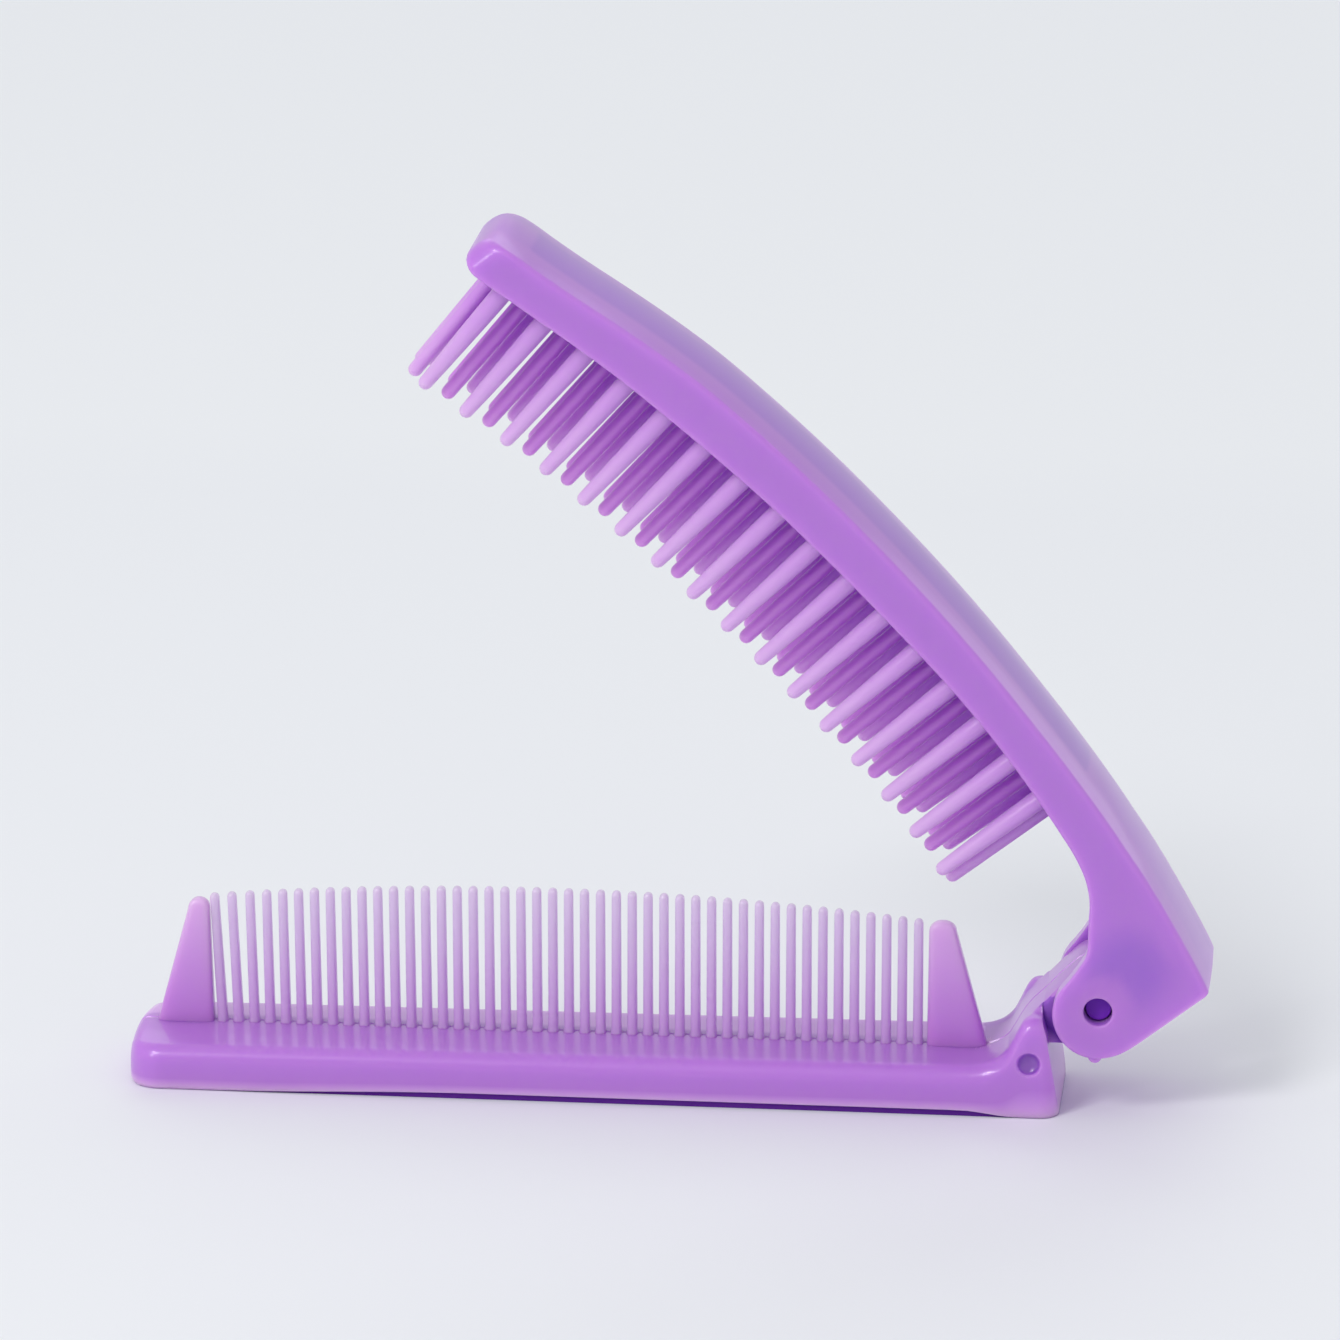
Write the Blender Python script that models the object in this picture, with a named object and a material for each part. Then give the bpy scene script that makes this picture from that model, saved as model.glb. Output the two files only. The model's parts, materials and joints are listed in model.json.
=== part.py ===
"""Two-in-one folding comb and brush in moulded plastic, resting on the comb's spine and half open.

The comb half lies along X with its fine teeth up. The brush half turns on a pin at the comb's right end
and stands open over it, its bristles towards the comb. Origin: bottom centre of the whole object at rest.
"""

import math

import bmesh
import bpy
from mathutils import Vector

MM = 0.001

# Pose and hinge. Lengths in the comb and in the brush are measured from the pivot.
OPEN_AT_REST = math.radians(128)
PIVOT_HEIGHT = 13.3 * MM
TONGUE_RADIUS = 4.7 * MM
TONGUE_WIDTH = 12.2 * MM
TONGUE_LOW = 8.3 * MM
LOBE_RADIUS = 5.65 * MM
HINGE_GAP = 0.3 * MM
CLEARANCE_RADIUS = 6.65 * MM
PIN_RADIUS = 1.3 * MM
PIN_LENGTH = 14.4 * MM
NUB_RADIUS = 0.8 * MM
NUB_REACH = 6.45 * MM
NUB_ANGLE = math.radians(139)
NUB_WIDTH = 1.7 * MM

# Comb half: spine bar
COMB_WIDTH = 19.0 * MM
COMB_END = -115.4 * MM
COMB_FACE = -4.45 * MM
SPINE_HEIGHT = 5.9 * MM
SPINE_CROWN = 0.6 * MM
END_CORNER = 4.4 * MM
END_FILLET = 1.5 * MM
FACE_CORNER = 2.3 * MM
FACE_DRAFT = 0.16
TOP_FILLET = 2.0 * MM
BOTTOM_FILLET = 0.5 * MM
NECK_START = -15.0 * MM
EAR_EDGE = 6.6 * MM
DIMPLE_X = -8.0 * MM
DIMPLE_Z = 6.7 * MM
DIMPLE_RADIUS = 1.4 * MM
DIMPLE_DEPTH = 1.0 * MM

# Comb half: teeth
TOOTH_COUNT = 45
FIRST_GAP = -105.95 * MM
LAST_GAP = -20.75 * MM
TOOTH_WIDTH = 1.2 * MM
TOOTH_TIP_WIDTH = 1.1 * MM
TOOTH_DEPTH = 2.1 * MM
TOOTH_TIP_DEPTH = 1.3 * MM
TOOTH_ROOT = 1.2 * MM
END_LEAN = 0.6 * MM
TOOTH_LEAN = 0.3 * MM
LEAN_TEETH = 24
TIP_ARC_TOP = 23.65 * MM
TIP_ARC_CENTRE = -66.0 * MM
TIP_ARC_RADIUS = 415.0 * MM
GUARD_DEPTH = 3.0 * MM
GUARD_TIP_DEPTH = 2.0 * MM
GUARD_TOP = 21.1 * MM
GUARD_TIP_RADIUS = 1.2 * MM

# Brush half
BRUSH_WIDTH = 18.0 * MM
BRUSH_TIP = 115.79 * MM
BACK_THICKNESS = 2.2 * MM
BACK_CROWN = 0.7 * MM
END_CROWN = 0.15 * MM
CROWN_RUN = 24.0 * MM
BACK_FILLET = 0.9 * MM
RIM_FILLET = 0.45 * MM
TIP_ROUND = 2.8 * MM
TROUGH_END = 111.4 * MM
SLOT_ROOF = 10.9 * MM
HOLE_RADIUS = 1.7 * MM

# Bristles: rows run along the brush, each row has the same number
BRISTLE_COUNT = 16
FIRST_BRISTLE = 24.05 * MM
LAST_BRISTLE = 109.45 * MM
BRISTLE_LENGTH = 15.6 * MM
INNER_SHIFT = 0.5
END_SHIFT = 0.31
BRISTLE_RADIUS = 1.0 * MM
BRISTLE_TIP_RADIUS = 0.85 * MM
OUTER_EXTRA = 0.12 * MM
BRISTLE_SIDES = 8
OUTER_ROW = 5.1 * MM
INNER_ROW = 2.85 * MM
LEAN_NEAR_HINGE = math.radians(0.3)
LEAN_NEAR_TIP = math.radians(12.3)
FAR_ROW_SHIFT = 0.6 * MM

# Top line of the comb's neck and tongue: x from the pivot, height above the spine, in millimetres
NECK_LINE = [
    (-15.0, 5.9),
    (-13.4, 6.1),
    (-12.0, 6.6),
    (-10.9, 7.4),
    (-10.2, 8.5),
    (-9.5, 9.8),
    (-8.8, 10.9),
    (-8.0, 11.9),
    (-7.2, 12.7),
    (-6.4, 13.5),
    (-5.0, 15.0),
]

# Top line of the two ears beside the neck, measured the same way
EAR_LINE = [
    (-15.0, 5.9),
    (-13.2, 6.2),
    (-12.0, 6.7),
    (-10.7, 7.9),
    (-10.0, 9.2),
    (-9.4, 10.5),
    (-8.9, 11.4),
    (-8.4, 11.9),
    (-7.8, 12.1),
    (-7.0, 12.1),
    (-5.0, 11.9),
]

# Side view of the brush: x from the pivot, back edge and rim height on the bristle side, in millimetres
BRUSH_LINE = [
    (-5.88, -11.6, -1.5),
    (-5.76, -11.85, 0.5),
    (-5.45, -12.0, 1.9),
    (-5.0, -12.12, 2.9),
    (-3.95, -12.35, 4.3),
    (-2.2, -12.68, 5.35),
    (0.0, -13.05, 5.65),
    (2.2, -13.4, 5.0),
    (3.6, -13.6, 3.9),
    (4.5, -13.73, 2.5),
    (5.0, -13.79, 0.6),
    (5.64, -13.88, -1.49),
    (6.34, -13.99, -3.08),
    (7.64, -14.13, -4.33),
    (9.44, -14.34, -5.78),
    (11.24, -14.49, -7.28),
    (13.44, -14.63, -8.44),
    (16.24, -14.84, -9.19),
    (20.24, -15.04, -9.64),
    (26.24, -15.19, -10.04),
    (33.24, -15.19, -10.24),
    (41.24, -15.04, -9.99),
    (50.24, -14.54, -9.19),
    (60.24, -13.59, -8.08),
    (70.24, -12.29, -6.68),
    (79.24, -10.74, -4.98),
    (87.24, -9.04, -3.23),
    (94.24, -7.03, -1.54),
    (100.24, -5.03, 0.21),
    (105.24, -3.28, 1.77),
    (109.24, -1.99, 3.02),
    (112.24, -1.09, 3.97),
    (113.59, -0.59, 4.32),
    (114.59, -0.14, 4.32),
    (115.14, 0.22, 4.12),
    (115.49, 0.62, 3.77),
    (115.69, 1.21, 3.27),
    (115.79, 1.96, 2.56),
]


def interpolate(table, x, column=1):
    """Read a column of a table in millimetres at x in metres, on straight lines between rows."""
    x_mm = x / MM
    if x_mm <= table[0][0]:
        return table[0][column] * MM
    for low, high in zip(table, table[1:]):
        if x_mm <= high[0]:
            part = (x_mm - low[0]) / (high[0] - low[0])
            return (low[column] + part * (high[column] - low[column])) * MM
    return table[-1][column] * MM


def brush_reach():
    """How far the brush's domed back reaches beyond the pivot at rest."""
    turn_x, turn_z = math.cos(OPEN_AT_REST), math.sin(OPEN_AT_REST)
    return max(x * MM * turn_x + (END_CROWN - back * MM) * turn_z for x, back, _ in BRUSH_LINE[:6])


PIVOT_X = -(COMB_END + brush_reach()) / 2


def clear_scene():
    for thing in list(bpy.data.objects):
        bpy.data.objects.remove(thing, do_unlink=True)


def plastic(name, colour, roughness):
    material = bpy.data.materials.new(name)
    material.use_nodes = True
    shader = material.node_tree.nodes["Principled BSDF"]
    shader.inputs["Base Color"].default_value = (*colour, 1.0)
    shader.inputs["Roughness"].default_value = roughness
    shader.inputs["Metallic"].default_value = 0.0
    return material


def add_object(name, mesh, parent=None):
    thing = bpy.data.objects.new(name, mesh)
    bpy.context.collection.objects.link(thing)
    thing.parent = parent
    return thing


def loft(name, rings, parent=None):
    """Skin a row of rings that have the same number of points, and close both ends."""
    mesh = bpy.data.meshes.new(name)
    shape = bmesh.new()
    loops = [[shape.verts.new(point) for point in ring] for ring in rings]
    for first, second in zip(loops, loops[1:]):
        for i in range(len(first)):
            j = (i + 1) % len(first)
            shape.faces.new((first[i], first[j], second[j], second[i]))
    shape.faces.new(list(reversed(loops[0])))
    shape.faces.new(loops[-1])
    bmesh.ops.recalc_face_normals(shape, faces=shape.faces)
    shape.to_mesh(mesh)
    shape.free()
    return add_object(name, mesh, parent)


def prism(name, outline, half_width, parent=None, centre=0.0):
    """Extrude an outline of (x, z) points across Y."""
    rings = [[(x, centre + side * half_width, z) for x, z in outline] for side in (-1, 1)]
    return loft(name, rings, parent)


def arc(centre_x, centre_z, radius, start, end, steps):
    """Points (x, z) on a round stretch, angles in radians."""
    angles = [start + (end - start) * i / steps for i in range(steps + 1)]
    return [(centre_x + radius * math.cos(a), centre_z + radius * math.sin(a)) for a in angles]


def disc(radius, sides):
    """Points (x, z) of a full circle round the origin."""
    return arc(0, 0, radius, 0, math.tau * (sides - 1) / sides, sides - 1)


def mark_tool(thing):
    thing.hide_render = True
    thing.display_type = "WIRE"


def boolean(target, tool, operation):
    """Join or cut with an exact Boolean that is applied straight away, and drop the tool."""
    mark_tool(tool)
    step = target.modifiers.new(operation.lower(), "BOOLEAN")
    step.object = tool
    step.operation = operation
    step.solver = "EXACT"
    bpy.context.view_layer.update()
    graph = bpy.context.evaluated_depsgraph_get()
    result = bpy.data.meshes.new_from_object(target.evaluated_get(graph))
    target.modifiers.clear()
    target.data = result
    bpy.data.objects.remove(tool, do_unlink=True)


def clean(thing):
    """Weld points that a Boolean left on top of each other."""
    shape = bmesh.new()
    shape.from_mesh(thing.data)
    bmesh.ops.remove_doubles(shape, verts=shape.verts, dist=0.002 * MM)
    bmesh.ops.dissolve_degenerate(shape, edges=shape.edges, dist=0.002 * MM)
    bmesh.ops.triangulate(shape, faces=shape.faces)
    shape.to_mesh(thing.data)
    shape.free()


def shade_round(thing, angle=40):
    thing.data.shade_smooth()
    thing.data.set_sharp_from_angle(angle=math.radians(angle))


def neck_height(x):
    return interpolate(NECK_LINE, x)


def spine_section(x):
    """One ring across the spine bar at x, from the bottom centre round and back."""
    from_end = x - COMB_END
    inset = 0.0
    drop = 0.0
    if from_end < END_CORNER:
        inset = END_CORNER - math.sqrt(END_CORNER**2 - (END_CORNER - from_end) ** 2)
    if from_end < END_FILLET:
        drop = END_FILLET - math.sqrt(END_FILLET**2 - (END_FILLET - from_end) ** 2)
    to_face = COMB_FACE - x
    if to_face < FACE_CORNER:
        inset = FACE_CORNER - math.sqrt(FACE_CORNER**2 - (FACE_CORNER - to_face) ** 2)
    half = COMB_WIDTH / 2 - inset
    along = min(1.0, from_end / (NECK_START - COMB_END))
    crown = SPINE_CROWN * (1 - along)
    high = neck_height(x) - drop
    rise = interpolate(EAR_LINE, x) - neck_height(x)
    bottom = 0.6 * drop
    side = [(0.0, bottom), (half - BOTTOM_FILLET, bottom), (half, bottom + BOTTOM_FILLET)]
    for i in range(4):
        angle = math.radians(30 * i)
        side.append((
            half - TOP_FILLET * (1 - math.cos(angle)),
            high - crown + rise - TOP_FILLET * (1 - math.sin(angle)),
        ))
    if half > EAR_EDGE + TOP_FILLET:
        ear_part = 1 - EAR_EDGE / (half - TOP_FILLET)
        side.append((EAR_EDGE, high - crown * (1 - ear_part) + rise))
    else:
        side.append((half - TOP_FILLET - 0.1 * MM, high - crown + rise))
    side.append((side[-1][0] - 0.4 * MM, high - crown * 0.8))
    side.append((0.0, high))
    mirrored = [(-y, z) for y, z in reversed(side[1:-1])]
    return [(x, y, z) for y, z in side + mirrored]


def build_spine(parent):
    end = [0.0, 0.35, 1.0, 2.0, 3.3, 4.6]
    stations = [COMB_END + d * MM for d in end]
    stations += sorted({x * MM for x, _ in NECK_LINE + EAR_LINE if x * MM < COMB_FACE - FACE_CORNER - 0.2 * MM})
    stations += [COMB_FACE - FACE_CORNER * (1 - part) for part in (0.3, 0.65, 0.9, 1.0)]
    return loft("comb_half", [spine_section(x) for x in stations], parent)


def tongue_outline():
    """Side view of the neck and tongue: flat underside, round end, and the S-shaped top line."""
    root = NECK_LINE[-3][0] * MM
    points = [(root, TONGUE_LOW), (0.0, TONGUE_LOW)]
    points += arc(0.0, PIVOT_HEIGHT, TONGUE_RADIUS, math.radians(-75), math.radians(133), 15)
    points += [(x * MM, z * MM) for x, z in reversed(NECK_LINE[-3:])]
    return points


def tooth_rings(x_base, x_tip, z_base, z_tip, width, tip_width, depth, tip_depth):
    """Rings of a slim tooth with chamfered edges and a rounded tip."""
    rings = []
    tip_round = tip_width / 2
    for part, x, z, wide, deep in (
        (0.0, x_base, z_base, width, depth),
        (1.0, x_tip, z_tip - tip_round, tip_width, tip_depth),
        (1.0, x_tip, z_tip - tip_round * 0.3, tip_width * 0.75, tip_depth * 0.85),
        (1.0, x_tip, z_tip, tip_width * 0.35, tip_depth * 0.6),
    ):
        cut_x, cut_y = wide * 0.3, deep * 0.18
        half_x, half_y = wide / 2, deep / 2
        corner = [(half_x, half_y - cut_y), (half_x - cut_x, half_y)]
        corner += [(-px, py) for px, py in reversed(corner)]
        corner += [(-px, -py) for px, py in corner]
        rings.append([(x + px, py, z) for px, py in corner])
    return rings


def tip_height(x):
    return TIP_ARC_TOP - (x - TIP_ARC_CENTRE) ** 2 / (2 * TIP_ARC_RADIUS)


def build_teeth(comb, parent):
    pitch = (LAST_GAP - FIRST_GAP) / TOOTH_COUNT
    z_base = SPINE_HEIGHT - TOOTH_ROOT
    for i in range(TOOTH_COUNT):
        x_base = FIRST_GAP + pitch * (i + 0.5)
        x_tip = x_base - END_LEAN * math.exp(-((i / 1.7) ** 2)) - TOOTH_LEAN * max(0.0, 1 - i / LEAN_TEETH)
        rings = tooth_rings(
            x_base, x_tip, z_base, tip_height(x_tip),
            TOOTH_WIDTH, TOOTH_TIP_WIDTH, TOOTH_DEPTH, TOOTH_TIP_DEPTH,
        )
        boolean(comb, loft("tooth", rings, parent), "UNION")


def guard_rings(outer_base, inner_base, outer_tip, inner_tip):
    """Rings of a wide guard tooth whose outer edge slopes and whose tip is rounded."""
    rings = []
    z_base = SPINE_HEIGHT - TOOTH_ROOT
    z_tip = GUARD_TOP - GUARD_TIP_RADIUS
    rows = [(0.0, z_base, 1.0), (1.0, z_tip, 1.0)]
    for i in (1, 2, 3):
        angle = math.radians(28 * i)
        rows.append((1.0, z_tip + GUARD_TIP_RADIUS * math.sin(angle), math.cos(angle)))
    for part, z, shrink in rows:
        outer = outer_base + part * (outer_tip - outer_base)
        inner = inner_base + part * (inner_tip - inner_base)
        middle = (outer_tip + inner_tip) / 2
        outer = middle + (outer - middle) * shrink
        inner = middle + (inner - middle) * shrink
        half_y = (GUARD_DEPTH + part * (GUARD_TIP_DEPTH - GUARD_DEPTH)) / 2 * (0.5 + 0.5 * shrink)
        low, high = min(outer, inner), max(outer, inner)
        cut_x, cut_y = (high - low) * 0.12, half_y * 0.4
        ring = [
            (high, half_y - cut_y), (high - cut_x, half_y), (low + cut_x, half_y), (low, half_y - cut_y),
            (low, cut_y - half_y), (low + cut_x, -half_y), (high - cut_x, -half_y), (high, cut_y - half_y),
        ]
        rings.append([(x, y, z) for x, y in ring])
    return rings


def build_guards(comb, parent):
    left = guard_rings(-113.2 * MM, -106.05 * MM, -109.05 * MM, -106.5 * MM)
    right = guard_rings(-13.1 * MM, -20.6 * MM, -17.2 * MM, -20.45 * MM)
    for rings in (left, right):
        boolean(comb, loft("guard", rings, parent), "UNION")


def build_comb_half(parent):
    comb = build_spine(parent)
    ear_width = COMB_WIDTH / 2
    foot, top = COMB_FACE + 0.26 * MM, 20 * MM
    past_face = [(foot, -MM), (foot - FACE_DRAFT * top, top - MM), (5 * MM, top - MM), (5 * MM, -MM)]
    boolean(comb, prism("past_face", past_face, COMB_WIDTH, parent), "DIFFERENCE")
    for side in (-1, 1):
        recess = [(x, PIVOT_HEIGHT + z) for x, z in disc(CLEARANCE_RADIUS, 40)]
        inner = TONGUE_WIDTH / 2 - 0.25 * MM
        middle = side * (inner + ear_width) / 2
        boolean(comb, prism("recess", recess, (ear_width - inner) / 2, parent, middle), "DIFFERENCE")
        dimple = [(DIMPLE_X + x, DIMPLE_Z + z) for x, z in disc(DIMPLE_RADIUS, 20)]
        boolean(comb, prism("dimple", dimple, DIMPLE_DEPTH, parent, side * ear_width), "DIFFERENCE")
    boolean(comb, prism("tongue", tongue_outline(), TONGUE_WIDTH / 2, parent), "UNION")
    bore = [(x, PIVOT_HEIGHT + z) for x, z in disc(PIN_RADIUS + HINGE_GAP, 24)]
    boolean(comb, prism("bore", bore, COMB_WIDTH, parent), "DIFFERENCE")
    build_teeth(comb, parent)
    build_guards(comb, parent)
    clean(comb)
    shade_round(comb)
    return comb


def brush_section(x):
    """One ring across the brush body at x: rim edges, side faces and a slightly domed back."""
    back = interpolate(BRUSH_LINE, x, 1)
    rim = interpolate(BRUSH_LINE, x, 2)
    to_tip = BRUSH_TIP - x
    half = BRUSH_WIDTH / 2
    from_face = min(1.0, (x - BRUSH_LINE[0][0] * MM) / CROWN_RUN)
    crown = END_CROWN + (BACK_CROWN - END_CROWN) * from_face
    if to_tip < TIP_ROUND:
        part = 1 - to_tip / TIP_ROUND
        half -= TIP_ROUND * (1 - math.sqrt(1 - part**2))
    height = rim - back
    fillet = min(BACK_FILLET, height * 0.4)
    edge = min(RIM_FILLET, height * 0.2)
    side = [(0.0, rim), (half - edge, rim), (half, rim - edge)]
    for i in range(4):
        angle = math.radians(30 * i)
        side.append((half - fillet * (1 - math.cos(angle)), back + fillet * (1 - math.sin(angle))))
    side.append((0.0, back - crown))
    mirrored = [(-y, z) for y, z in reversed(side[1:-1])]
    return [(x, y, z) for y, z in side + mirrored]


def trough_outline():
    """Side view of the hollow: the tongue's slot at the hinge, then the trough that the bristles stand in."""
    outside = 20 * MM
    points = [(-2 * LOBE_RADIUS, outside), (-2 * LOBE_RADIUS, -SLOT_ROOF), (-4.0 * MM, -SLOT_ROOF)]
    for row in BRUSH_LINE:
        x = row[0] * MM
        if 2.0 * MM < x < TROUGH_END - 1.5 * MM:
            points.append((x, roof_height(x)))
    points.append((TROUGH_END, roof_height(TROUGH_END)))
    points.append((TROUGH_END, outside))
    return points


def roof_height(x):
    """Height of the trough's roof, on the bristle side of the back."""
    return interpolate(BRUSH_LINE, x, 1) + BACK_THICKNESS - BACK_CROWN


def bristle_rings(x_rim, y, z_rim, lean, root_radius):
    """Rings of one round bristle from inside the roof to its rounded tip."""
    along = Vector((-math.sin(lean), 0, math.cos(lean)))
    across = Vector((math.cos(lean), 0, math.sin(lean)))
    rim = Vector((x_rim, y, z_rim))
    depth = z_rim - roof_height(x_rim) + 0.7 * MM
    rings = []
    for reach, radius in (
        (-depth, root_radius),
        (BRISTLE_LENGTH - BRISTLE_TIP_RADIUS, BRISTLE_TIP_RADIUS),
        (BRISTLE_LENGTH - 0.3 * BRISTLE_TIP_RADIUS, BRISTLE_TIP_RADIUS * 0.75),
        (BRISTLE_LENGTH, BRISTLE_TIP_RADIUS * 0.3),
    ):
        centre = rim + along * reach
        ring = []
        for i in range(BRISTLE_SIDES):
            angle = math.tau * (i + 0.5) / BRISTLE_SIDES
            ring.append(centre + across * radius * math.cos(angle) + Vector((0, radius * math.sin(angle), 0)))
        rings.append(ring)
    return rings


def build_bristles(brush, parent):
    """The two outer rows stand in line. The two inner rows stand half a step on, with one more each."""
    pitch = (LAST_BRISTLE - FIRST_BRISTLE) / (BRISTLE_COUNT - 1)
    span = LAST_BRISTLE - FIRST_BRISTLE
    outer = list(range(BRISTLE_COUNT))
    inner = [i + INNER_SHIFT for i in range(BRISTLE_COUNT - 1)]
    inner = [-END_SHIFT] + inner + [BRISTLE_COUNT - 1 + END_SHIFT]
    for y, places in ((-OUTER_ROW, outer), (-INNER_ROW, inner), (INNER_ROW, inner), (OUTER_ROW, outer)):
        for place in places:
            x = FIRST_BRISTLE + pitch * place
            part = max(0.0, (x - FIRST_BRISTLE) / span)
            lean = LEAN_NEAR_HINGE + (LEAN_NEAR_TIP - LEAN_NEAR_HINGE) * part
            radius = BRISTLE_RADIUS + (OUTER_EXTRA if abs(y) == OUTER_ROW else 0.0)
            if y == OUTER_ROW:
                x += FAR_ROW_SHIFT * part**1.5
            rings = bristle_rings(x, y, interpolate(BRUSH_LINE, x, 2), lean, radius)
            boolean(brush, loft("bristle", rings, parent), "UNION")


def build_brush_half(parent):
    stations = [row[0] * MM for row in BRUSH_LINE]
    brush = loft("brush_half", [brush_section(x) for x in stations], parent)
    half_slot = TONGUE_WIDTH / 2 + HINGE_GAP
    boolean(brush, prism("trough", trough_outline(), half_slot, parent), "DIFFERENCE")
    boolean(brush, prism("pin_hole", disc(HOLE_RADIUS, 26), BRUSH_WIDTH, parent), "DIFFERENCE")
    centre = NUB_REACH - NUB_RADIUS
    for side in (-1, 1):
        nub = [
            (centre * math.cos(NUB_ANGLE) + x, centre * math.sin(NUB_ANGLE) + z)
            for x, z in disc(NUB_RADIUS, 12)
        ]
        middle = side * (half_slot + BRUSH_WIDTH / 2) / 2
        boolean(brush, prism("nub", nub, NUB_WIDTH / 2, parent, middle), "UNION")
    build_bristles(brush, parent)
    clean(brush)
    shade_round(brush)
    return brush


def build_hinge_pin(parent):
    pin = prism("hinge_pin", disc(PIN_RADIUS, 24), PIN_LENGTH / 2, parent)
    shade_round(pin)
    return pin


def main():
    clear_scene()
    comb_base = add_object("comb_base", None)
    comb_base.location = (PIVOT_X, 0, 0)
    pivot = add_object("pivot", None)
    pivot.location = (PIVOT_X, 0, PIVOT_HEIGHT)
    pin_base = add_object("pin_base", None)
    pin_base.location = (PIVOT_X, 0, PIVOT_HEIGHT)
    comb = build_comb_half(comb_base)
    brush = build_brush_half(pivot)
    pin = build_hinge_pin(pin_base)
    pivot.rotation_euler = (0, -OPEN_AT_REST, 0)
    comb.data.materials.append(plastic("comb_plastic", (0.40, 0.17, 0.65), 0.22))
    brush.data.materials.append(plastic("brush_plastic", (0.40, 0.17, 0.65), 0.22))
    pin.data.materials.append(plastic("pin_plastic", (0.12, 0.02, 0.30), 0.35))


main()
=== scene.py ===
"""Looks of a folding comb and brush in milky purple plastic, half open on a pale table.

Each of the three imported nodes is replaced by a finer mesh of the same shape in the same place.
Lengths in the comb are measured from the hinge along X and from the table up. Lengths in the brush
are measured from the hinge along the brush, and square to that towards its bristles.
"""

import json
import math

import bmesh
import bpy
from mathutils import Matrix, Vector


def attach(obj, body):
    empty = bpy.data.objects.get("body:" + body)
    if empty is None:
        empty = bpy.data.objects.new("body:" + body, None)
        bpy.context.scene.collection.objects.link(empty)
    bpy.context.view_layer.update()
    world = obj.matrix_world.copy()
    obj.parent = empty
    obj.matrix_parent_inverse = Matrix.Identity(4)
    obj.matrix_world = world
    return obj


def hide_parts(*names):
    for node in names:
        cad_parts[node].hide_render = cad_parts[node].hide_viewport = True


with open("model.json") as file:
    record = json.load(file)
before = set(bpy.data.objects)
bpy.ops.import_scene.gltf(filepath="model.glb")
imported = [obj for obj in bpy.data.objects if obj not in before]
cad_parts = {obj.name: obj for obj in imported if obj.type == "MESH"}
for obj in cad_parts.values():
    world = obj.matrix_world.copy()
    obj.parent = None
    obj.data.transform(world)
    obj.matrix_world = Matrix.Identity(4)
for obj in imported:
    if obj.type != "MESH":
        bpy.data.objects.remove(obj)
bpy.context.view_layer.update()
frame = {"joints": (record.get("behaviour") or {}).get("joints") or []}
MM = 0.001

# Pose and hinge
FOLD = frame["joints"][0]
PIVOT = Vector(FOLD["pos_m"])
PIVOT_HEIGHT = PIVOT.z
OPEN_AT_REST = math.radians(128)
TONGUE_RADIUS = 4.7 * MM
TONGUE_WIDTH = 12.2 * MM
TONGUE_LOW = 8.3 * MM
TONGUE_TOP_START = -7.6 * MM
TONGUE_TOP_END = -4.9 * MM
TONGUE_FILLET = 0.55 * MM
LOBE_RADIUS = 5.65 * MM
HINGE_GAP = 0.3 * MM
CLEARANCE_RADIUS = 6.65 * MM
PIN_RADIUS = 1.3 * MM
PIN_SWELL = 0.2 * MM
PIN_LENGTH = 14.4 * MM
PIN_FILLET = 0.15 * MM
NUB_RADIUS = 0.8 * MM
NUB_REACH = 6.45 * MM
NUB_ANGLE = math.radians(139)
NUB_WIDTH = 1.7 * MM
NUB_FILLET = 0.25 * MM

# Comb half: spine bar
COMB_WIDTH = 19.0 * MM
COMB_END = -115.4 * MM
COMB_FACE = -4.45 * MM
SPINE_HEIGHT = 5.9 * MM
SPINE_CROWN = 0.6 * MM
END_CORNER = 4.0 * MM
END_FILLET = 1.5 * MM
END_UNDERCUT = 0.6
FACE_CORNER = 2.3 * MM
FACE_DRAFT = 0.16
FACE_FOOT = 0.26 * MM
TOP_FILLET = 2.0 * MM
BOTTOM_FILLET = 0.45 * MM
NECK_START = -15.0 * MM
EAR_INNER = 6.1 * MM
EAR_OUTER = 7.0 * MM
EAR_LIP = 0.3 * MM
DIMPLE_X = -8.0 * MM
DIMPLE_Z = 6.7 * MM
DIMPLE_RADIUS = 1.33 * MM
DIMPLE_DEPTH = 1.0 * MM
DIMPLE_LIP = 0.2 * MM

# Rebate along the bar's lower edges: start and run from its far end, stop and run before its face
REBATE_HEIGHT = 0.75 * MM
REBATE_DEPTH = 0.42 * MM
REBATE_FILLET = 0.2 * MM
REBATE_START = 6.0 * MM
REBATE_RISE = 36.0 * MM
REBATE_STOP = 4.0 * MM
REBATE_FALL = 8.0 * MM

# Fine groove round the middle of the tongue: half its width, and how much of both its floor takes
SEAM_WIDTH = 0.26 * MM
SEAM_DEPTH = 0.36 * MM
SEAM_FLOOR_WIDTH = 0.4
SEAM_FLOOR_DEPTH = 0.75

# Comb half: teeth
TOOTH_COUNT = 45
FIRST_GAP = -105.95 * MM
LAST_GAP = -20.75 * MM
TOOTH_WIDTH = 1.2 * MM
TOOTH_TIP_WIDTH = 1.1 * MM
TOOTH_DEPTH = 2.1 * MM
TOOTH_TIP_DEPTH = 1.3 * MM
TOOTH_TIP_ROUND = 0.85
TOOTH_ROOT = 1.2 * MM
TOOTH_FLARE = 0.12 * MM
TOOTH_FLARE_HEIGHT = 0.18 * MM
TOOTH_SQUARENESS = 2.8
END_LEAN = 0.6 * MM
END_LEAN_TEETH = 1.7
TOOTH_LEAN = 0.3 * MM
LEAN_TEETH = 24
TIP_ARC_TOP = 23.65 * MM
TIP_ARC_CENTRE = -66.0 * MM
TIP_ARC_RADIUS = 415.0 * MM
GUARD_DEPTH = 3.0 * MM
GUARD_TIP_DEPTH = 2.0 * MM
GUARD_TIP_FLAT = 0.35
GUARD_TOP = 21.1 * MM
GUARD_TIP_RADIUS = 1.25 * MM
GUARD_SQUARENESS = 4.5

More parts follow.
